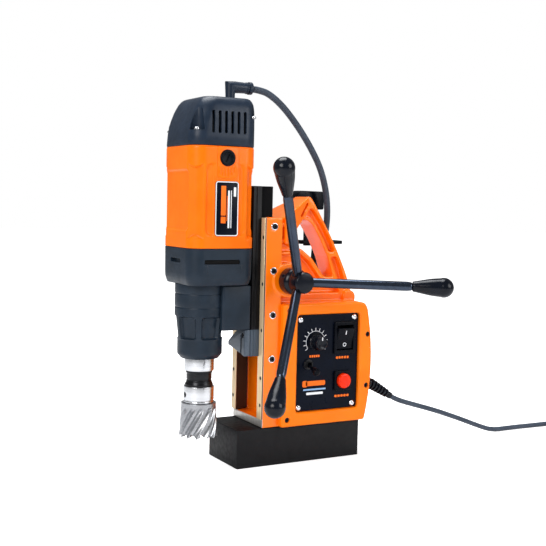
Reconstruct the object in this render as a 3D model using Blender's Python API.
"""Magnetic drill press: a drill head that a rack and pinion move up and down a dovetail on a magnetic stand.

Frame: the origin is the centre of the magnet's bottom face. +X runs along the magnet away from the
drill head, -Y is the side of the control panel and of the capstan, +Z is up.
Lengths are written in millimetres, and UNIT turns them into Blender's metres.
"""

import math

import bmesh
import bpy
from mathutils import Matrix, Vector

UNIT = 0.001
GAP = 0.3

# Stand
MAGNET_LENGTH, MAGNET_WIDTH, MAGNET_HEIGHT = 168.0, 76.0, 45.0
HALF_WIDTH = MAGNET_WIDTH / 2
STAND_FRONT = -52.0
STAND_TOP = 291.4
BOX_LEFT, BOX_RIGHT, BOX_TOP = -30.6, 88.0, 190.5
BOX_BOTTOM = MAGNET_HEIGHT + GAP
CHANNEL_BACK, CHANNEL_HALF, CHANNEL_FLOOR = -33.5, 33.3, 55.0
ARCH_HALF = 16.0
WEB_BACK, WEB_HALF = -8.0, 27.0  # the wall behind the channel, beside the hand hole
GIB_SCREW_X, GIB_SCREW_HEIGHTS = -41.0, [126.2 + 51.5 * k for k in range(4)]
COVER_SCREWS = ((-22.5, 53.8), (-22.5, 183.0), (88.6, 150.8), (88.2, 87.8))
COVER_FACE = -45.5
PANEL_FACE = -42.0

# Slide, rack and pinion
SLIDE_TOP, SLIDE_BOTTOM = 327.0, 127.8
FOOT_OUTLINE = [(-30, 129.5), (-30, 160.6), (-12, 160.6), (13, 143), (13, 138.5), (-10, 134)]
SLIDE_FRONT, SLIDE_NECK, SLIDE_BACK = -66.0, -54.3, -40.0
PINION_TEETH, PINION_MODULE = 16, 1.75
PINION_RADIUS = PINION_TEETH * PINION_MODULE / 2
PINION_X, PINION_Z = -21.5, 218.0
RACK_LOW, RACK_HIGH = 146.0, 302.0
SHAFT_RADIUS, BOSS_RADIUS = 7.0, 20.0

# Capstan
HUB_FRONT, HUB_BACK, HUB_BORE_END = -78.0, -43.0, -58.4
SPOKES_MEET = -62.0
SPOKE_CONE = math.radians(30)
SPOKE_ANGLES = (119, -1, -121)
SPOKE_RADIUS, BALL_RADIUS, BALL_AT = 5.5, 11.5, 166.4

# Drill head
SPINDLE_X = -116.3
MOTOR_X, MOTOR_HALF_X, MOTOR_HALF_Y, MOTOR_CORNER = -107.6, 40.9, 43.8, 17.0
HEAD_TOP, CAP_BOTTOM, CASE_TOP, CASE_BOTTOM = 425.0, 370.0, 255.3, 213.7
CONE_TOP, NOSE_TOP, NOSE_BOTTOM = 177.6, 149.7, 127.6
COLLAR_BOTTOM, SLEEVE_BOTTOM, ARBOR_BOTTOM, CUTTER_BOTTOM = 112.8, 94.7, 75.4, 35.0

# Gears: motor pinion, layshaft gear, layshaft pinion, spindle gear
GEAR_MODULE = 1.0
MOTOR_TEETH, LAY_TEETH, LAY_PINION_TEETH, SPINDLE_TEETH = 10, 28, 12, 34
MOTOR_TO_LAY = GEAR_MODULE * (MOTOR_TEETH + LAY_TEETH) / 2
SPINDLE_TO_LAY = GEAR_MODULE * (LAY_PINION_TEETH + SPINDLE_TEETH) / 2

BRUSH_AT = (-106.7, 356.6)
SHELL_WALL, CASE_ROOM, CASE_ROOF = 5.0, 9.0, 247.0
SPINDLE_ROOM, LAY_BORE = 18.8, 3.3
BLOCK_FRONT, BLOCK_HALF, BLOCK_BOTTOM = -103.0, 31.5, 161.0
VENTS = (-124.0, -116.1, -108.3, -100.6, -92.8, -85.0)
CUTTER_FLUTES = 12

# Controls on the panel: x, z
DIAL_AT, TOGGLE_AT = (15.8, 144.3), (6.0, 118.0)
ROCKER_AT, BUTTON_AT = (56.2, 147.9), (54.5, 95.8)
PANEL = (-10.2, 76.0, 62.0, 177.0)
PANEL_THICK = 1.6
PANEL_SCREWS = ((-5.7, 171.4), (69.8, 172.5), (69.3, 66.9), (-6.4, 66.6))
ROCKER_PIVOT_Y, ROCKER_TILT = -39.5, 12.0
TOGGLE_PIVOT_Y, TOGGLE_TILT = -40.6, 17.0

# Cords
LEAD_RADIUS, MAINS_RADIUS = 4.0, 3.15
COIL_OUTER, COIL_INNER, COIL_HEIGHT = 51.8, 22.2, 12.7
COIL_AT = (462.0, -64.0)
ELBOW_AT, ELBOW_TOP = (-80.0, 6.0), 441.6
GLAND_AT = (56.0, 27.0)
RELIEF_Y, RELIEF_Z = -28.0, 87.5
RELIEF_STRAIGHT, RELIEF_ARC, RELIEF_DROOP = 96.0, 14.0, math.radians(30)
LEAD_ROUTE = (
    (-49.5, 8, 441.4), (-40, 9, 440.6), (-28, 11, 438.2), (-14, 14, 431.5), (0, 16.5, 421.5),
    (14, 18.5, 408.5), (28, 20, 393), (42, 21.5, 375), (54, 22.5, 356), (62.5, 23.5, 336), (68, 24.5, 314),
    (69.8, 25.5, 290), (67.5, 26.5, 266), (62.5, 27, 243), (57.8, 27, 222), (56.2, 27, 205.8))
MAINS_ROUTE = (
    (138.1, -28, 67.4), (146, -28, 63.2), (156, -28, 59.4), (168, -28, 55.6), (184, -27.5, 50.8),
    (200, -26.8, 46), (218, -25.5, 40.2), (236, -23.8, 34), (254, -21.8, 27.6), (272, -19.6, 20.9),
    (290, -17.3, 14.2), (304, -15.7, 9.2), (316, -14.6, 5.6), (332, -13.6, 3.4), (350, -13.2, 3.2),
    (372, -13.6, 3.2), (396, -14.8, 3.2), (418, -15.5, 3.2), (436.3, -15.6, 3.2))

# The exact solver leaves these pieces open where one round cut meets another
COAXIAL_CUTS = ("gearbox_housing", "stand_casting", "lead_elbow")

ORANGE = ("orange_paint", (0.95, 0.30, 0.03), 0.35, 0.0)
BLACK = ("black_plastic", (0.03, 0.032, 0.04), 0.5, 0.0)
CASE = ("case_grey", (0.06, 0.07, 0.085), 0.45, 0.2)
MAGNET = ("magnet_black", (0.02, 0.02, 0.023), 0.5, 0.1)
STEEL = ("bright_steel", (0.72, 0.72, 0.73), 0.25, 1.0)
DARK_STEEL = ("dark_steel", (0.07, 0.075, 0.08), 0.35, 0.8)
BRASS = ("brass", (0.78, 0.62, 0.35), 0.35, 1.0)
COPPER = ("copper", (0.6, 0.25, 0.12), 0.4, 1.0)
RESIN = ("potting_resin", (0.05, 0.04, 0.03), 0.5, 0.0)
RUBBER = ("rubber", (0.05, 0.055, 0.065), 0.6, 0.0)
RED = ("red_plastic", (0.8, 0.04, 0.03), 0.35, 0.0)
BOARD = ("board_green", (0.03, 0.2, 0.1), 0.5, 0.0)
CARBON = ("carbon", (0.04, 0.04, 0.04), 0.6, 0.0)


def clear_scene():
    for obj in list(bpy.data.objects):
        bpy.data.objects.remove(obj, do_unlink=True)


def material(spec):
    name, colour, roughness, metallic = spec
    found = bpy.data.materials.get(name)
    if found:
        return found
    made = bpy.data.materials.new(name)
    made.use_nodes = True
    shader = made.node_tree.nodes["Principled BSDF"]
    shader.inputs["Base Color"].default_value = (*colour, 1.0)
    shader.inputs["Roughness"].default_value = roughness
    shader.inputs["Metallic"].default_value = metallic
    return made


def pivot(name, x, y, z):
    """An empty on a joint's axis."""
    empty = bpy.data.objects.new(name, None)
    empty.location = Vector((x, y, z)) * UNIT
    bpy.context.scene.collection.objects.link(empty)
    return empty


def finish(name, bm, spec, on=None, smooth=True):
    """Turns a bmesh in millimetres into an object; `on` is the empty that it hangs from."""
    bmesh.ops.remove_doubles(bm, verts=bm.verts, dist=0.001)
    bmesh.ops.recalc_face_normals(bm, faces=bm.faces)
    bmesh.ops.scale(bm, vec=(UNIT, UNIT, UNIT), verts=bm.verts)
    if on:
        bmesh.ops.translate(bm, vec=-on.location, verts=bm.verts)
    mesh = bpy.data.meshes.new(name)
    bm.to_mesh(mesh)
    bm.free()
    mesh.materials.append(material(spec))
    if smooth:
        mesh.shade_smooth()
        mesh.set_sharp_from_angle(angle=math.radians(35))
    obj = bpy.data.objects.new(name, mesh)
    bpy.context.scene.collection.objects.link(obj)
    if on:
        obj.parent = on
    return obj


def combine(obj, other, operation):
    other.hide_render = True
    other.display_type = "WIRE"
    step = obj.modifiers.new(other.name, "BOOLEAN")
    step.operation = operation
    step.solver = "MANIFOLD" if obj.name in COAXIAL_CUTS else "EXACT"
    step.object = other
    return obj


def cut(obj, *cutters):
    for cutter in cutters:
        combine(obj, cutter, "DIFFERENCE")
    return obj


def join(obj, *pieces):
    for piece in pieces:
        combine(obj, piece, "UNION")
    return obj


def loft(loops):
    """A bmesh skinned over loops of equal length, with a cap on the first and the last."""
    bm = bmesh.new()
    rings = [[bm.verts.new(p) for p in loop] for loop in loops]
    for low, high in zip(rings, rings[1:]):
        for k in range(len(low)):
            n = (k + 1) % len(low)
            bm.faces.new((low[k], low[n], high[n], high[k]))
    bm.faces.new(rings[0][::-1])
    bm.faces.new(rings[-1])
    return bm


def swing(axis, a, b, c):
    """The point with coordinates a, b across an axis and c along it; across is in X, Y, Z order."""
    return {"X": (c, a, b), "Y": (a, c, b), "Z": (a, b, c)}[axis]


def prism(name, outline, low, high, axis, spec, on=None, smooth=False):
    loops = [[swing(axis, a, b, c) for a, b in outline] for c in (low, high)]
    return finish(name, loft(loops), spec, on, smooth)


def box(name, x, y, z, spec, on=None):
    outline = [(x[0], y[0]), (x[1], y[0]), (x[1], y[1]), (x[0], y[1])]
    return prism(name, outline, z[0], z[1], "Z", spec, on)


def circle(radius, sides, centre=(0, 0), turn=0.0):
    steps = [2 * math.pi * (k + turn) / sides for k in range(sides)]
    return [(centre[0] + radius * math.cos(t), centre[1] + radius * math.sin(t)) for t in steps]


def lathe(name, profile, centre, axis, spec, on=None, sides=20):
    """Turns a profile of (radius, height) points. Radius 0 at both ends makes a solid, else a ring."""
    bm = bmesh.new()
    solid = profile[0][0] == 0 and profile[-1][0] == 0
    rings = []
    for radius, height in profile:
        if radius == 0:
            rings.append([bm.verts.new(swing(axis, centre[0], centre[1], height))])
        else:
            loop = circle(radius, sides, centre)
            rings.append([bm.verts.new(swing(axis, a, b, height)) for a, b in loop])
    pairs = list(zip(rings, rings[1:])) + ([] if solid else [(rings[-1], rings[0])])
    for low, high in pairs:
        for k in range(sides):
            n = (k + 1) % sides
            corners = [low[k % len(low)], low[n % len(low)], high[n % len(high)], high[k % len(high)]]
            bm.faces.new(list(dict.fromkeys(corners)))
    return finish(name, bm, spec, on)


def rod(name, radius, low, high, centre, axis, spec, on=None, sides=16):
    return lathe(name, [(0, low), (radius, low), (radius, high), (0, high)], centre, axis, spec, on, sides)


def drill(obj, radius, low, high, centres, axis, sides=12):
    """Cuts a row of round holes with one cutter."""
    bm = bmesh.new()
    for centre in centres:
        outline = circle(radius, sides, centre)
        loops = [[bm.verts.new(swing(axis, a, b, c)) for a, b in outline] for c in (low, high)]
        for k in range(sides):
            n = (k + 1) % sides
            bm.faces.new((loops[0][k], loops[0][n], loops[1][n], loops[1][k]))
        bm.faces.new(loops[0][::-1])
        bm.faces.new(loops[1])
    return cut(obj, finish(f"{obj.name}_holes_{len(obj.modifiers)}", bm, STEEL))


def ring(name, inner, outer, low, high, centre, axis, spec, on=None, sides=16):
    profile = [(inner, low), (outer, low), (outer, high), (inner, high)]
    return lathe(name, profile, centre, axis, spec, on, sides)


def rounded(low_a, high_a, low_b, high_b, radius, steps=3):
    """A rectangle with round corners, counter-clockwise."""
    corners = [(high_a - radius, high_b - radius, 0), (low_a + radius, high_b - radius, 90)]
    corners += [(low_a + radius, low_b + radius, 180), (high_a - radius, low_b + radius, 270)]
    points = []
    for a, b, start in corners:
        for k in range(steps + 1):
            t = math.radians(start + 90 * k / steps)
            points.append((a + radius * math.cos(t), b + radius * math.sin(t)))
    return points


def arc_through(start, middle, end, steps):
    """Points on the circle through three points, from start to end."""
    (ax, ay), (bx, by), (cx, cy) = start, middle, end
    d = 2 * (ax * (by - cy) + bx * (cy - ay) + cx * (ay - by))
    a2, b2, c2 = ax * ax + ay * ay, bx * bx + by * by, cx * cx + cy * cy
    ux = (a2 * (by - cy) + b2 * (cy - ay) + c2 * (ay - by)) / d
    uy = (a2 * (cx - bx) + b2 * (ax - cx) + c2 * (bx - ax)) / d
    radius = math.hypot(ax - ux, ay - uy)
    first, last = (math.atan2(p[1] - uy, p[0] - ux) for p in (start, end))
    turn = (last - first + math.pi) % (2 * math.pi) - math.pi
    steps_at = [first + turn * k / steps for k in range(steps + 1)]
    return [(ux + radius * math.cos(t), uy + radius * math.sin(t)) for t in steps_at]


def gear_outline(teeth, module, phase, centre=(0, 0)):
    """A gear's outline with thinned, straight-sided teeth; one tooth points at the angle `phase`."""
    pitch = module * teeth / 2
    step = 2 * math.pi / teeth
    points = []
    for k in range(teeth):
        for radius, part in ((pitch - 1.2 * module, -0.3), (pitch + 0.8 * module, -0.1),
                             (pitch + 0.8 * module, 0.1), (pitch - 1.2 * module, 0.3)):
            t = phase + (k + part) * step
            points.append((centre[0] + radius * math.cos(t), centre[1] + radius * math.sin(t)))
    return points


def smooth_curve(points, per_span):
    """A Catmull-Rom curve through the points."""
    p = [Vector(q) for q in points]
    p = [2 * p[0] - p[1]] + p + [2 * p[-1] - p[-2]]
    out = []
    for a, b, c, d in zip(p, p[1:], p[2:], p[3:]):
        for k in range(per_span):
            t = k / per_span
            out.append(0.5 * (2 * b + (c - a) * t + (2 * a - 5 * b + 4 * c - d) * t**2
                              + (3 * b - a - 3 * c + d) * t**3))
    return out + [p[-2]]


def tube(name, points, radius, spec, resolution=2):
    curve = bpy.data.curves.new(name, "CURVE")
    curve.dimensions = "3D"
    curve.bevel_depth = radius * UNIT
    curve.bevel_resolution = resolution
    curve.use_fill_caps = True
    spline = curve.splines.new("POLY")
    spline.points.add(len(points) - 1)
    for spot, point in zip(spline.points, points):
        spot.co = (*(Vector(point) * UNIT), 1.0)
    curve.materials.append(material(spec))
    obj = bpy.data.objects.new(name, curve)
    bpy.context.scene.collection.objects.link(obj)
    return obj


# ---- Magnet -------------------------------------------------------------------------------


def racetrack(name, grow, low, high, spec):
    """A rectangular ring round the magnet's core: the coil, and the groove that holds it."""
    outer = rounded(-68 - grow, 68 + grow, -28 - grow, 28 + grow, 10 + grow)
    inner = rounded(-50 + grow, 50 - grow, -12 + grow, 12 - grow, 5 - grow)
    bm = bmesh.new()
    loops = [[bm.verts.new((a, b, c)) for a, b in line] for line, c in
             ((outer, low), (outer, high), (inner, high), (inner, low))]
    for one, two in zip(loops, loops[1:] + loops[:1]):
        for k in range(len(one)):
            n = (k + 1) % len(one)
            bm.faces.new((one[k], one[n], two[n], two[k]))
    return finish(name, bm, spec, smooth=False)


def magnet():
    half = MAGNET_LENGTH / 2
    block = box("magnet_housing", (-half, half), (-HALF_WIDTH, HALF_WIDTH), (0, MAGNET_HEIGHT), MAGNET)
    cut(block, racetrack("coil_groove", GAP, -1, 25, MAGNET))
    racetrack("magnet_coil", 0, 0.6, 24.5, RESIN)


# ---- Stand --------------------------------------------------------------------------------


def box_outline():
    """Side view of the control box: straight towards the head, bulging away from it."""
    bulge = arc_through((86.8, BOX_BOTTOM), (95.2, 118.0), (BOX_RIGHT, 183.0), 8)
    return [(BOX_LEFT, BOX_BOTTOM), *bulge, (84.5, 188.6), (79.0, BOX_TOP), (BOX_LEFT, BOX_TOP)]


def arch_outline():
    """The carry handle: from the column's top over the apex and down to the box."""
    outside = [(10, 307.5), (15, 315), (19, 316.3), (23, 313), (33.5, 297), (53, 264.6), (68.8, 233.8),
               (76.8, 215), (83.5, 194), (85, 184)]
    return [(-10, 184), (-10, 277), (0, 292.5), *outside]


def hand_hole():
    return [(-6, 257), (-6, 276), (2, 283.5), (9.5, 289), (17, 288), (24, 282.7), (35.9, 264.6),
            (46.6, 243.9), (54.6, 221.7), (54.6, 219.4), (43, 219.4), (39.7, 222.5), (23.8, 242.8),
            (9.1, 253.7)]


def beam_recesses(low, high):
    """The hollow side of the arch's I-section: over, beside and under the hand hole."""
    upper = [(13, 292), (20, 302.5), (24.5, 302), (31, 293), (38.8, 282.7), (49.5, 264.6), (57, 250),
             (48, 250), (40.4, 264.6), (28.5, 282.7), (22, 290.5)]
    lower = [(50.5, 244), (60, 244), (65.5, 232.5), (72.5, 213), (67, 210), (59, 221.7)]
    foot = [(4, 200), (4, 250), (20.5, 238), (37, 217), (44, 212.5), (54, 212), (66, 200)]
    outlines = enumerate((upper, lower, foot))
    return [prism(f"recess_{low}_{k}", line, low, high, "Y", ORANGE) for k, line in outlines]


def fairing():
    """The slope from the column's full width to the arch."""
    bm = bmesh.new()
    corners = [(-26, 37.7, 291.2), (-26, 37.7, 262), (WEB_BACK, WEB_HALF, 291.2), (WEB_BACK, WEB_HALF, 255),
               (17, ARCH_HALF, 315.6), (0, ARCH_HALF, 292.5), (-6, ARCH_HALF, 258), (9, ARCH_HALF, 289.5)]
    for x, y, z in corners:
        bm.verts.new((x, y, z))
        bm.verts.new((x, -y, z))
    found = bmesh.ops.convex_hull(bm, input=bm.verts)
    loose = [g for g in found["geom_interior"] + found["geom_unused"] if isinstance(g, bmesh.types.BMVert)]
    bmesh.ops.delete(bm, geom=list(set(loose)), context="VERTS")
    return finish("fairing", bm, ORANGE, smooth=False)


def stand_body():
    """The casting before its hollows are cut."""
    body = box("stand_casting", (STAND_FRONT, -30), (-HALF_WIDTH, HALF_WIDTH), (BOX_BOTTOM, STAND_TOP),
               ORANGE)
    web = box("web", (-34, WEB_BACK), (-WEB_HALF, WEB_HALF), (180, STAND_TOP), ORANGE)
    control_box = prism("control_box", box_outline(), -HALF_WIDTH, HALF_WIDTH, "Y", ORANGE)
    boss = rod("boss", BOSS_RADIUS, -40, 40, (PINION_X, PINION_Z), "Y", ORANGE, sides=32)
    arch = prism("arch", arch_outline(), -ARCH_HALF, ARCH_HALF, "Y", ORANGE)
    lug = rod("lug", 9, -21, 21, (76, 194), "Y", ORANGE)
    join(body, web, control_box, boss, arch, lug, fairing())
    for k, z in enumerate((199, 248, 262, 281)):
        join(body, box(f"rib_{k}", (-34, WEB_BACK - 4), (-34, 34), (z, z + 3.5), ORANGE))
    return body


def stand_casting():
    body = stand_body()
    channel = box("channel", (-60, CHANNEL_BACK), (-CHANNEL_HALF, CHANNEL_HALF),
                  (CHANNEL_FLOOR, STAND_TOP + 10), ORANGE)
    pinion_room = box("pinion_room", (-35, -4.5), (-10.3, 10.3), (200, 236), ORANGE)
    shaft_bore = rod("shaft_bore", 9.3, -50, 50, (PINION_X, PINION_Z), "Y", ORANGE)
    electronics = box("electronics", (-8, 83.5), (-50, 33), (51, 184), ORANGE)
    hand = prism("hand", hand_hole(), -30, 30, "Y", ORANGE)
    cut(body, channel, pinion_room, shaft_bore, electronics, hand)
    for low, high in ((-30, -8), (8, 30)):
        cut(body, *beam_recesses(low, high))
    for wall in ((-45, -30), (30, 45)):
        drill(body, 3.3, *wall, [(GIB_SCREW_X, z) for z in GIB_SCREW_HEIGHTS], "Y")
    drill(body, 2.3, -45, -27, COVER_SCREWS, "Y", sides=10)
    cut(body, rod("relief_hole", 7.6, 80, 105, (RELIEF_Y, RELIEF_Z), "X", ORANGE, sides=16))
    cut(body, rod("lead_hole", 6.3, 180, 195, GLAND_AT, "Z", ORANGE, sides=16))


def gibs():
    """A dovetail strip on each side of the slide; each one's outer lip covers the casting's wall."""
    for name, side in (("gib_near", -1), ("gib_far", 1)):
        outline = [(-54, 27.3), (-54, 38), (-52.3, 38), (-52.3, 33), (-36, 33), (-36, 31.6), (-40, 30.9),
                   (-52.3, 27.3)]
        strip = prism(name, [(x, side * y) for x, y in outline], CHANNEL_FLOOR + 0.5, 290.8, "Z", BRASS)
        for k, z in enumerate((72, 104)):
            spot = rod(f"{name}_screw_{k}", 2.2, -55, -53.4, (side * 34.5, z), "X", BRASS, sides=10)
            cut(strip, spot)


def pinion_bushes():
    for name, side in (("pinion_bush_near", -1), ("pinion_bush_far", 1)):
        bore = SHAFT_RADIUS + GAP
        shape = [(bore, 12), (9, 12), (9, 40.3), (12, 40.3), (12, 42.4), (bore, 42.4)]
        lathe(name, [(r, side * y) for r, y in shape], (PINION_X, PINION_Z), "Y", BRASS, sides=16)


def control_box_cover():
    cover = prism("control_box_cover", box_outline(), COVER_FACE, -HALF_WIDTH - GAP, "Y", ORANGE)
    low_x, high_x, low_z, high_z = PANEL
    pocket = prism("panel_pocket", rounded(low_x - 0.8, high_x + 0.8, low_z - 0.8, high_z + 0.8, 4), -50,
                   -40.1, "Y", ORANGE)
    window = box("panel_window", (-1.5, 70), (-50, -30), (74, 167), ORANGE)
    cut(cover, pocket, window)
    drill(cover, 2.3, -50, -30, COVER_SCREWS, "Y", sides=10)
    drill(cover, 1.9, -50, -30, PANEL_SCREWS, "Y", sides=10)


def control_panel():
    panel = prism("control_panel", rounded(*PANEL, 3.5), PANEL_FACE, PANEL_FACE + PANEL_THICK, "Y",
                  BLACK)
    x, z = ROCKER_AT
    rocker_hole = box("rocker_hole", (x - 13.6, x + 13.6), (-50, -30), (z - 17.2, z + 17.2), BLACK)
    x, z = BUTTON_AT
    drill(panel, 1.9, -50, -30, PANEL_SCREWS, "Y", sides=10)
    drill(panel, 4.2, -50, -30, [DIAL_AT, TOGGLE_AT], "Y", sides=20)
    cut(panel, rocker_hole, box("button_hole", (x - 10, x + 10), (-50, -30), (z - 10, z + 10), BLACK))


def control_board():
    board = box("control_board", (0, 78), (0, 1.6), (58, 178), BOARD)
    parts = [((8, 38), (62, 92)), ((48, 72), (64, 84)), ((6, 22), (104, 124)), ((34, 62), (112, 132)),
             ((10, 26), (150, 170)), ((44, 70), (148, 172))]
    for k, (x, z) in enumerate(parts):
        join(board, box(f"board_part_{k}", x, (-13, 0.5), z, BOARD))


def switch_bodies():
    x, z = DIAL_AT
    ring("speed_potentiometer", 3.3, 9, -39.8, -28, (x, z), "Y", DARK_STEEL, sides=20)
    x, z = ROCKER_AT
    body = box("rocker_body", (x - 13.2, x + 13.2), (-42.5, -18), (z - 16.8, z + 16.8), BLACK)
    bezel = rounded(x - 15.2, x + 15.2, z - 19.4, z + 19.4, 2)
    join(body, prism("rocker_bezel", bezel, -44.8, PANEL_FACE - GAP, "Y", BLACK))
    cut(body, box("rocker_room", (x - 11.8, x + 11.8), (-50, -29), (z - 15.2, z + 15.2), BLACK))
    x, z = BUTTON_AT
    body = box("button_body", (x - 9.7, x + 9.7), (-42.5, -22), (z - 9.7, z + 9.7), BLACK)
    bezel = rounded(x - 11.8, x + 11.8, z - 11.8, z + 11.8, 2)
    join(body, prism("button_bezel", bezel, -45.2, PANEL_FACE - GAP, "Y", BLACK))
    cut(body, rod("button_room", 9.4, -50, -30, (x, z), "Y", BLACK, sides=32))
    x, z = TOGGLE_AT
    body = box("toggle_switch", (x - 5, x + 5), (-39.8, -24), (z - 7, z + 7), STEEL)
    join(body, rod("toggle_neck", 4.0, -46.2, -39, (x, z), "Y", STEEL, sides=20))
    nut = prism("toggle_nut", circle(6.2, 6, (x, z)), -44.2, PANEL_FACE - GAP, "Y", STEEL)
    cut(join(body, nut), rod("toggle_room", 3.5, -50, -37, (x, z), "Y", STEEL, sides=20))


def coolant_bracket():
    """A carrier on the casting's far side, for the machine's clip-on coolant bottle."""
    outline = [(56, 150), (88, 150), (96, 210), (82, 258), (64, 258)]
    post = prism("coolant_bracket", outline, 38.4, 52, "Y", BLACK)
    shelf = box("shelf", (40, 104), (38.4, 66), (257, 261.5), BLACK)
    clip = prism("clip", [(33, 301), (73, 301), (73, 324), (37, 324.5), (33, 320)], 38.4, 56, "Y", BLACK)
    neck = box("neck", (46, 60), (38.4, 44), (255, 305), BLACK)
    join(post, shelf, clip, neck)


# ---- Slide and its drive ------------------------------------------------------------------


def slide_bar():
    """The moving dovetail, with a groove in its back for the rack and a foot cut to a slope."""
    half = [(SLIDE_FRONT, 30), (SLIDE_NECK, 30), (SLIDE_NECK, 26.3), (SLIDE_BACK, 30.4)]
    groove = [(SLIDE_BACK, 8.3), (SLIDE_BACK - 6.3, 8.3)]
    outline = half + groove + [(x, -y) for x, y in reversed(half + groove)]
    bar = prism("slide_bar", outline, SLIDE_BOTTOM, SLIDE_TOP, "Z", BLACK)
    near, far, under = -40, 40, SLIDE_BOTTOM - 10
    low, high = FOOT_OUTLINE[0][1], FOOT_OUTLINE[2][1]
    beside = [(near, low), (near, under), (far, under), (far, high)]
    around_foot = FOOT_OUTLINE[2:] + FOOT_OUTLINE[:1] + beside
    cut(bar, prism("foot_slope", around_foot, SLIDE_FRONT - 10, SLIDE_BACK + 10, "X", BLACK))


def rack():
    """Teeth towards +X, in mesh with the pinion at rest."""
    pitch = math.pi * PINION_MODULE
    line = PINION_X - PINION_RADIUS
    root, tip = line - 1.2 * PINION_MODULE, line + 0.8 * PINION_MODULE
    outline = [(root, RACK_HIGH), (-46, RACK_HIGH), (-46, RACK_LOW), (root, RACK_LOW)]
    first = math.ceil((RACK_LOW - PINION_Z) / pitch + 0.2)
    last = math.floor((RACK_HIGH - PINION_Z) / pitch - 0.2)
    for k in range(first, last):
        middle = PINION_Z + (k + 0.5) * pitch
        outline += [(root, middle - 0.3 * pitch), (tip, middle - 0.12 * pitch), (tip, middle + 0.12 * pitch),
                    (root, middle + 0.3 * pitch)]
    prism("rack", outline, -8, 8, "Y", DARK_STEEL)


def capstan(on):
    axis = (PINION_X, PINION_Z)
    shaft = rod("pinion_shaft", SHAFT_RADIUS, -58, 46, axis, "Y", STEEL, on)
    teeth = gear_outline(PINION_TEETH, PINION_MODULE, math.pi, axis)
    teeth = prism("pinion_teeth", teeth, -9.5, 9.5, "Y", STEEL, on)
    join(shaft, teeth, rod("shaft_flange", 11, 42.8, 46.5, axis, "Y", STEEL, on))
    hub = capstan_hub(on)
    for k, degrees in enumerate(SPOKE_ANGLES):
        cut(hub, spoke_piece(f"spoke_bore_{k}", [(0, 9), (5.8, 9), (5.8, 40), (0, 40)], degrees, BLACK, on))
        shape = [(0, 9.5), (SPOKE_RADIUS, 9.5), (SPOKE_RADIUS, 130), (4, 130.5), (4, 158), (0, 158)]
        spoke_piece(f"capstan_spoke_{k + 1}", shape, degrees, BLACK, on)
        spoke_piece(f"capstan_grip_{k + 1}", grip_profile(), degrees, RUBBER, on)


def capstan_hub(on):
    """The hub, with a blind bore for the shaft's end."""
    axis = (PINION_X, PINION_Z)
    shape = [(0, HUB_BACK), (15.7, HUB_BACK), (15.7, -56), (12.4, -60), (12.4, HUB_FRONT + 2),
             (11, HUB_FRONT), (0, HUB_FRONT)]
    bore = rod("hub_bore", SHAFT_RADIUS + GAP, HUB_BACK + 5, HUB_BORE_END, axis, "Y", BLACK, on)
    return cut(lathe("capstan_hub", shape, axis, "Y", BLACK, on), bore)


def grip_profile():
    """A teardrop: a ball that tapers to the rod, with a blind hole for the rod's end."""
    bore = [(0, 158.5), (4.3, 158.5), (4.3, 130.8)]
    taper = [(6.2, 130.8), (7.4, 138), (9.6, 150)]
    ball = [(BALL_RADIUS * math.sin(t), BALL_AT - BALL_RADIUS * math.cos(t))
            for t in (math.radians(a) for a in (75, 95, 115, 135, 155))]
    return bore + taper + ball + [(0, BALL_AT + BALL_RADIUS)]


def spoke_piece(name, profile, degrees, spec, on):
    """A turned piece along one spoke; heights run out from the point where the spokes meet."""
    piece = lathe(name, profile, (0, 0), "Z", spec, sides=12)
    turn = math.radians(degrees)
    flat = math.cos(SPOKE_CONE)
    along = Vector((flat * math.cos(turn), -math.sin(SPOKE_CONE), flat * math.sin(turn)))
    move = Matrix.Translation(Vector((PINION_X, SPOKES_MEET, PINION_Z)) * UNIT - on.location)
    piece.data.transform(move @ along.to_track_quat("Z", "Y").to_matrix().to_4x4())
    piece.parent = on
    return piece


# ---- Drill head ---------------------------------------------------------------------------


def motor_section(z, inset=0.0, front=0.0, side=0.0):
    """One level of the motor's rounded-square outline; front slopes the face away from the slide."""
    half_y = MOTOR_HALF_Y - inset - side
    loop = rounded(MOTOR_X - MOTOR_HALF_X + inset + front, MOTOR_X + MOTOR_HALF_X - inset, -half_y, half_y,
                   MOTOR_CORNER - min(inset, 6), 3)
    return [(x, y, z) for x, y in loop]


def gear_case():
    """The dark collar under the motor: its roof carries the motor's lower bearing."""
    levels = ((CASE_BOTTOM, 3.4), (220, 1), (226, 0), (CASE_TOP, 0))
    case = finish("gear_case", loft([motor_section(z, inset) for z, inset in levels]), CASE)
    levels = (CASE_BOTTOM - 5, CASE_ROOF)
    room = finish("case_room", loft([motor_section(z, CASE_ROOM) for z in levels]), CASE)
    bore = rod("case_bore", 13.3, 240, 260, (MOTOR_X, 0), "Z", CASE)
    lay = rod("lay_seat", LAY_BORE, CASE_ROOF - 2, CASE_ROOF + 4, lay_axis(), "Z", CASE, sides=16)
    near_slot = box("near_slot", (-132, -88), (-50, -MOTOR_HALF_Y + 2.5), (238.8, 242.6), CASE)
    far_slot = box("far_slot", (-132, -88), (MOTOR_HALF_Y - 2.5, 50), (238.8, 242.6), CASE)
    front_slot = box("front_slot", (-152, MOTOR_X - MOTOR_HALF_X + 2.5), (-14, 14), (238.8, 242.6), CASE)
    cut(case, room, bore, lay, near_slot, far_slot, front_slot)


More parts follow.
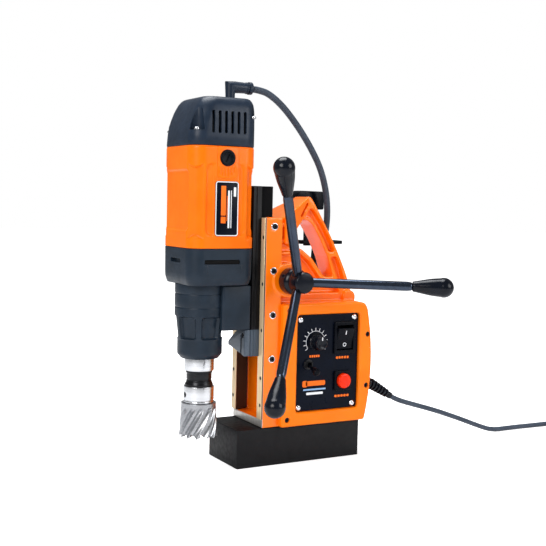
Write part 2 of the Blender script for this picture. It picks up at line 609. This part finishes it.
def gearbox_housing():
    """The nose that holds the spindle, with the block that bolts to the slide."""
    shape = [(0, NOSE_BOTTOM), (22, NOSE_BOTTOM), (26, NOSE_BOTTOM + 5), (26, NOSE_TOP),
             (26.3, NOSE_TOP + 0.4), (29.5, CONE_TOP), (29.5, CASE_BOTTOM - GAP), (0, CASE_BOTTOM - GAP)]
    body = lathe("gearbox_housing", shape, (SPINDLE_X, 0), "Z", CASE, sides=32)
    block = box("mount_block", (BLOCK_FRONT, SLIDE_FRONT - GAP), (-BLOCK_HALF, BLOCK_HALF),
                (BLOCK_BOTTOM, CASE_BOTTOM - 1.5), CASE)
    room = rod("spindle_room", SPINDLE_ROOM, 132, 220, (SPINDLE_X, 0), "Z", CASE, sides=32)
    mouth = rod("spindle_mouth", 14, 120, 135, (SPINDLE_X, 0), "Z", CASE, sides=32)
    lay = rod("lay_hole", LAY_BORE, 205, 220, lay_axis(), "Z", CASE, sides=16)
    cut(join(body, block), room, mouth, lay)


def lay_axis():
    """The layshaft's place, from its centre distances to the motor and to the spindle."""
    apart = MOTOR_X - SPINDLE_X
    dx = (SPINDLE_TO_LAY**2 - MOTOR_TO_LAY**2 + apart**2) / (2 * apart)
    return (SPINDLE_X + dx, math.sqrt(SPINDLE_TO_LAY**2 - dx**2))


def motor_housing():
    levels = [(CASE_TOP + GAP, 0), (272, 0), (275.5, 1.8), (342, 1.8), (346, 0), (CAP_BOTTOM - GAP, 0)]
    outside = [motor_section(z, inset, 0, -inset) for z, inset in levels]
    shell = finish("motor_housing", loft(outside), ORANGE)
    bottom = finish("bottom_room", loft([motor_section(z, SHELL_WALL) for z in (250, 363)]), ORANGE)
    bearing = rod("upper_seat", 11.3, 360, 375, (MOTOR_X, 0), "Z", ORANGE)
    cut(shell, bottom, bearing)
    for k, (x, y) in enumerate(((-27, 0), (27, 0), (0, 27), (0, -27))):
        cut(shell, rod(f"air_hole_{k}", 9, 360, 375, (MOTOR_X + x, y), "Z", ORANGE, sides=16))
    for side in (-1, 1):
        low, high = sorted((side * 34, side * 50))
        cut(shell, rod(f"brush_hole_{side}", 8.3, low, high, BRUSH_AT, "Y", ORANGE))


def motor_cap():
    levels = [(CAP_BOTTOM, 0, 0, 0), (392, 0, 2, 0), (408, 0, 8, 0.8), (418, 0.6, 12.3, 2.6),
              (HEAD_TOP, 5, 16, 5)]
    cap = finish("motor_cap", loft([motor_section(*level) for level in levels]), BLACK)
    levels = [(CAP_BOTTOM - 5, 3, 0, 0), (392, 3, 2, 0), (408, 3, 8, 1), (420, 5, 13.5, 4)]
    cut(cap, finish("cap_room", loft([motor_section(*level) for level in levels]), BLACK))
    cut(cap, rod("elbow_hole", 6.3, 415, 430, ELBOW_AT, "Z", BLACK, sides=16))
    for k, x in enumerate(VENTS):
        for side in (-1, 1):
            low, high = sorted((side * 35, side * 50))
            cut(cap, box(f"vent_{k}_{side}", (x - 1.4, x + 1.4), (low, high), (384, 408.5), BLACK))


def brushes():
    """A screwed cap on each side, in one piece with the carbon brush that it presses on the commutator."""
    shape = [(0, 14.4), (3.2, 14.4), (3.2, 26), (2.2, 26), (2.2, 41.5), (8, 41.5), (8, 44.2), (9.3, 44.2),
             (9.3, 46), (8.4, 46.6), (0, 46.6)]
    for name, side in (("brush_cap_near", -1), ("brush_cap_far", 1)):
        lathe(name, [(r, side * y) for r, y in shape], BRUSH_AT, "Y", BLACK, sides=20)


def nameplate():
    outline = rounded(-120.8, -92, 269.5, 330.8, 1.2, 2)
    low = -MOTOR_HALF_Y - GAP
    prism("nameplate", outline, low - 0.9, low, "Y", BLACK)


def motor_insides(on):
    """Stator, then the turning armature with its fan and pinion, and the bearings."""
    ring("stator", 21.5, 35.3, 288, 345, (MOTOR_X, 0), "Z", STEEL)
    shape = [(0, 232), (2.3, 232), (2.3, 246), (4.9, 246), (4.9, 288), (20.5, 288), (20.5, 345), (8, 345),
             (8, 349), (14, 349), (14, 362), (4.9, 362), (4.9, 374), (0, 374)]
    lathe("armature", shape, (MOTOR_X, 0), "Z", COPPER, on)
    fan = ring("fan", 5.2, 34, 263, 265.5, (MOTOR_X, 0), "Z", BLACK, on)
    for k in range(6):
        blade = box(f"blade_{k}", (MOTOR_X + 12, MOTOR_X + 33.5), (-1, 1), (265, 279), BLACK, on)
        blade.data.transform(Matrix.Rotation(2 * math.pi * k / 6, 4, "Z"))
        join(fan, blade)
    join(fan, ring("fan_hub", 5.2, 13, 263, 274, (MOTOR_X, 0), "Z", BLACK, on))
    ring("motor_bearing_lower", 5.2, 13, 247.6, 255, (MOTOR_X, 0), "Z", STEEL)
    ring("motor_bearing_upper", 5.2, 11, 363.9, 369.4, (MOTOR_X, 0), "Z", STEEL)
    towards = math.atan2(lay_axis()[1], lay_axis()[0] - MOTOR_X)
    teeth = gear_outline(MOTOR_TEETH, GEAR_MODULE, towards, (MOTOR_X, 0))
    pinion = prism("motor_pinion", teeth, 234, 245, "Z", DARK_STEEL, on)
    cut(pinion, rod("pinion_bore", 2.6, 230, 250, (MOTOR_X, 0), "Z", DARK_STEEL, on, sides=16))


def gear_train(spindle_on, lay_on):
    lay = lay_axis()
    to_motor = math.atan2(-lay[1], MOTOR_X - lay[0])
    to_spindle = math.atan2(-lay[1], SPINDLE_X - lay[0])
    shaft = rod("layshaft", 3, 207, 250, lay, "Z", DARK_STEEL, lay_on, sides=16)
    teeth = gear_outline(LAY_TEETH, GEAR_MODULE, to_motor + math.pi / LAY_TEETH, lay)
    gear = prism("lay_gear", teeth, 235.5, 243.5, "Z", DARK_STEEL, lay_on)
    cut(gear, rod("lay_gear_bore", 3.2, 230, 250, lay, "Z", DARK_STEEL, lay_on, sides=16))
    teeth = gear_outline(LAY_PINION_TEETH, GEAR_MODULE, to_spindle, lay)
    join(shaft, prism("lay_pinion", teeth, 216, 235, "Z", DARK_STEEL, lay_on))
    from_spindle = math.atan2(lay[1], lay[0] - SPINDLE_X)
    phase = from_spindle + math.pi / SPINDLE_TEETH
    teeth = gear_outline(SPINDLE_TEETH, GEAR_MODULE, phase, (SPINDLE_X, 0))
    wheel = prism("spindle_gear", teeth, 218, 228, "Z", DARK_STEEL, spindle_on)
    cut(wheel, rod("spindle_gear_bore", 11.8, 210, 240, (SPINDLE_X, 0), "Z", DARK_STEEL, spindle_on))


def spindle(on):
    """The spindle has a tapered socket, open below, for the arbor's shank."""
    nose = NOSE_BOTTOM - GAP
    shape = [(0, 231), (11.5, 231), (11.5, 197), (12.3, 197), (12.3, nose), (17.3, nose),
             (17.3, COLLAR_BOTTOM), (11.2, COLLAR_BOTTOM), (9.2, 188), (0, 188)]
    lathe("spindle", shape, (SPINDLE_X, 0), "Z", STEEL, on)
    ring("spindle_bearing_upper", 12.6, 18.5, 199, 206, (SPINDLE_X, 0), "Z", STEEL)
    ring("spindle_bearing_lower", 12.6, 18.5, 133, 140, (SPINDLE_X, 0), "Z", STEEL)
    shape = [(0, 184), (9.0, 184), (10.9, COLLAR_BOTTOM - GAP), (10.9, SLEEVE_BOTTOM - GAP),
             (17.75, SLEEVE_BOTTOM - GAP), (17.75, ARBOR_BOTTOM), (9.8, ARBOR_BOTTOM), (9.8, 100.4),
             (0, 100.4)]
    arbor = lathe("arbor", shape, (SPINDLE_X, 0), "Z", STEEL, on)
    ring_shape = [(11.2, SLEEVE_BOTTOM), (16.4, SLEEVE_BOTTOM), (14.8, SLEEVE_BOTTOM + 5),
                  (14.8, COLLAR_BOTTOM - GAP), (11.2, COLLAR_BOTTOM - GAP)]
    lathe("arbor_sleeve", ring_shape, (SPINDLE_X, 0), "Z", DARK_STEEL, on)
    for k, degrees in enumerate((151, 61)):
        hole = rod(f"screw_hole_{k}", 3.3, 9, 19, (0, 84), "X", STEEL, sides=12)
        about = Matrix.Rotation(math.radians(degrees), 4, "Z")
        hole.data.transform(Matrix.Translation(Vector((SPINDLE_X, 0, 0)) * UNIT - on.location) @ about)
        hole.parent = on
        cut(arbor, hole)


def cutter_ring(z, radius, turn):
    """One level of the cutter: flats between twelve slanting flutes."""
    step = 2 * math.pi / CUTTER_FLUTES
    points = []
    for k in range(CUTTER_FLUTES):
        for part, depth in ((0.0, 0.0), (0.45, 0.0), (0.55, 3.0), (0.9, 3.0)):
            t = turn + (k + part) * step
            points.append((SPINDLE_X + (radius - depth) * math.cos(t), (radius - depth) * math.sin(t), z))
    return points


def annular_cutter(on):
    count = CUTTER_FLUTES * 4

    def plain(z, radius):
        return [(x, y, z) for x, y in circle(radius, count, (SPINDLE_X, 0))]

    outside = [cutter_ring(CUTTER_BOTTOM + 11 * k, 22.4 - 0.47 * k, math.radians(15 * k)) for k in range(4)]
    top = ARBOR_BOTTOM - GAP
    loops = [plain(66, 16.5), plain(CUTTER_BOTTOM, 17.2), *outside, plain(70, 20.4), plain(top, 20.4),
             plain(top, 9.5), plain(100, 9.5)]
    finish("annular_cutter", loft(loops), STEEL, on)


def slide_bracket():
    """The steel plate at the foot of the slide, with the slot and the screw that clamp it."""
    front, back = SLIDE_FRONT - 7, SLIDE_FRONT - GAP
    (y, z), hole = (-24.5, 154), 3.4
    bracket = prism("slide_bracket", FOOT_OUTLINE, front, back, "X", STEEL)
    cut(bracket, box("bracket_slot", (front - 5, back - 2), (y + 2, y + 5.5), (120, z), STEEL))
    cut(bracket, rod("bracket_screw_hole", hole, front - 5, back + 5, (y, z), "X", STEEL, sides=12))
    rod("bracket_screw", hole - 0.6, front + 1, back, (y, z), "X", DARK_STEEL, sides=12)


# ---- Controls -----------------------------------------------------------------------------


def speed_knob(on):
    shape = [(0, -33.4), (3, -33.4), (3, -42.6), (9.8, -42.6), (9.8, -45), (8.8, -46), (8.2, -57),
             (7.2, -58), (0, -58)]
    knob = lathe("speed_knob", shape, DIAL_AT, "Y", BLACK, on)
    x, z = DIAL_AT
    cut(knob, box("pointer_groove", (x - 0.6, x + 0.6), (-60, -57.2), (z, z + 12), BLACK, on))


def rocker(on):
    """Modelled level, then tipped so that its lower half stands out at rest."""
    x, z = ROCKER_AT
    y = ROCKER_PIVOT_Y
    outline = [(y + 2.5, z - 11), (y + 2.5, z + 11), (y - 4.5, z + 13), (y - 6.2, z + 12.6), (y - 5, z),
               (y - 6.2, z - 12.6), (y - 4.5, z - 13)]
    paddle = prism("rocker", outline, x - 11.4, x + 11.4, "X", BLACK, on)
    paddle.data.transform(Matrix.Rotation(math.radians(ROCKER_TILT), 4, "X"))


def toggle_lever(on):
    shape = [(0, -2), (1.5, -1), (1.5, 6), (2.2, 11), (3.9, 18.5), (4.3, 21.5), (3.6, 24.2), (1.6, 25.6),
             (0, 25.6)]
    lever = lathe("toggle_lever", shape, (0, 0), "Z", BLACK, sides=12)
    lean = Matrix.Rotation(math.radians(90 + TOGGLE_TILT), 4, "X")
    lever.data.transform(lean)
    lever.parent = on


def magnet_button(on):
    shape = [(0, -34), (9, -34), (9, -48.5), (8, -50), (0, -50)]
    lathe("magnet_button", shape, BUTTON_AT, "Y", RED, on)


# ---- Cords --------------------------------------------------------------------------------


def motor_lead():
    """The lead from the motor's cap to the stand, and its two ends."""
    x, y = ELBOW_AT
    arm = (y + 0.7, ELBOW_TOP)
    elbow = rod("lead_elbow", 5.8, 418, ELBOW_TOP + 4.4, (x, y), "Z", RUBBER, sides=20)
    join(elbow, rod("elbow_arm", 6.4, x - 5.6, -52.8, arm, "X", RUBBER, sides=20),
         ring("elbow_ring", 4.5, 7.4, -56.5, -52.2, arm, "X", RUBBER, sides=20))
    cut(elbow, rod("elbow_socket", 4.4, -56, -49.8, (y + 1.2, 441.4), "X", RUBBER, sides=20))
    tube("motor_lead", smooth_curve(LEAD_ROUTE, 1), LEAD_RADIUS, RUBBER)
    shape = [(0, 186), (5.8, 186), (5.8, 190.8), (9.5, 190.8), (9.5, 196), (6.6, 197.5), (6.2, 204.6),
             (0, 204.6)]
    lathe("lead_gland", shape, GLAND_AT, "Z", BLACK, sides=16)


def mains():
    """Strain relief, cord, its coil and the plug."""
    shape = [(0, 84), (6.4, 84), (6.4, 96), (8.6, 96.2), (8.6, 99.5)]
    shape += [(7.0 - 0.22 * k, 101.5 + 3.4 * k) for k in range(0, 12, 2)]
    shape += [(4.2, 142.6), (0, 142.6)]
    relief = lathe("strain_relief", shape, (RELIEF_Y, RELIEF_Z), "X", RUBBER, sides=16)
    bend_strain_relief(relief)
    tube("mains_cord", smooth_curve(MAINS_ROUTE, 1), MAINS_RADIUS, RUBBER)
    low, high, top = COIL_INNER, COIL_OUTER, COIL_HEIGHT
    shape = [(low + 2, 0.05), (high - 2, 0.05), (high, 2), (high, top - 2), (high - 2, top),
             (low + 2, top), (low, top - 2), (low, 2)]
    lathe("cord_coil", shape, COIL_AT, "Z", RUBBER, sides=28)
    plug()


def bend_strain_relief(relief):
    """The relief is straight through the wall, turns down over a short arc, and droops beyond it."""
    for vertex in relief.data.vertices:
        along, height = vertex.co.x / UNIT, vertex.co.z / UNIT - RELIEF_Z
        past = max(0.0, along - RELIEF_STRAIGHT)
        bent = min(past, RELIEF_ARC)
        lean = RELIEF_DROOP * bent / RELIEF_ARC
        x = min(along, RELIEF_STRAIGHT) + bent * math.cos(lean / 2) + (past - bent) * math.cos(RELIEF_DROOP)
        drop = bent * math.sin(lean / 2) + (past - bent) * math.sin(RELIEF_DROOP)
        vertex.co.x = (x + height * math.sin(lean)) * UNIT
        vertex.co.z = (RELIEF_Z - drop + height * math.cos(lean)) * UNIT


def plug():
    """A plain two-pin plug, lying flat beside the coil."""
    x, z = COIL_AT[0] + 48.4, 9.6
    levels = ((-92, 4.2, 4.2), (-106, 5, 4.6), (-110, 9.5, 7.5), (-118, 13, 9.2), (-128, 13, 9.2),
              (-130, 12, 8.4))
    loops = [[(x + a, y, z + b) for a, b in rounded(-w, w, -h, h, h * 0.7, 3)] for y, w, h in levels]
    body = finish("mains_plug", loft(loops), RUBBER)
    for k, side in enumerate((-9.5, 9.5)):
        join(body, rod(f"plug_pin_{k}", 2.2, -147, -128, (x + side, z), "Y", BRASS, sides=12))


# ---- Assembly -----------------------------------------------------------------------------


def build():
    clear_scene()
    capstan_axis = pivot("capstan_axis", PINION_X, SPOKES_MEET, PINION_Z)
    spindle_axis = pivot("spindle_axis", SPINDLE_X, 0, COLLAR_BOTTOM)
    motor_axis = pivot("motor_axis", MOTOR_X, 0, 300)
    lay_pivot = pivot("lay_axis", *lay_axis(), 230)
    dial_axis = pivot("dial_axis", DIAL_AT[0], PANEL_FACE, DIAL_AT[1])
    rocker_axis = pivot("rocker_axis", ROCKER_AT[0], ROCKER_PIVOT_Y, ROCKER_AT[1])
    toggle_axis = pivot("toggle_axis", TOGGLE_AT[0], TOGGLE_PIVOT_Y, TOGGLE_AT[1])
    button_axis = pivot("button_axis", BUTTON_AT[0], PANEL_FACE, BUTTON_AT[1])
    magnet()
    stand_casting()
    gibs()
    pinion_bushes()
    control_box_cover()
    control_panel()
    control_board()
    switch_bodies()
    coolant_bracket()
    slide_bar()
    rack()
    capstan(capstan_axis)
    gear_case()
    gearbox_housing()
    motor_housing()
    motor_cap()
    brushes()
    nameplate()
    motor_insides(motor_axis)
    gear_train(spindle_axis, lay_pivot)
    spindle(spindle_axis)
    annular_cutter(spindle_axis)
    slide_bracket()
    speed_knob(dial_axis)
    rocker(rocker_axis)
    toggle_lever(toggle_axis)
    magnet_button(button_axis)
    motor_lead()
    mains()


build()
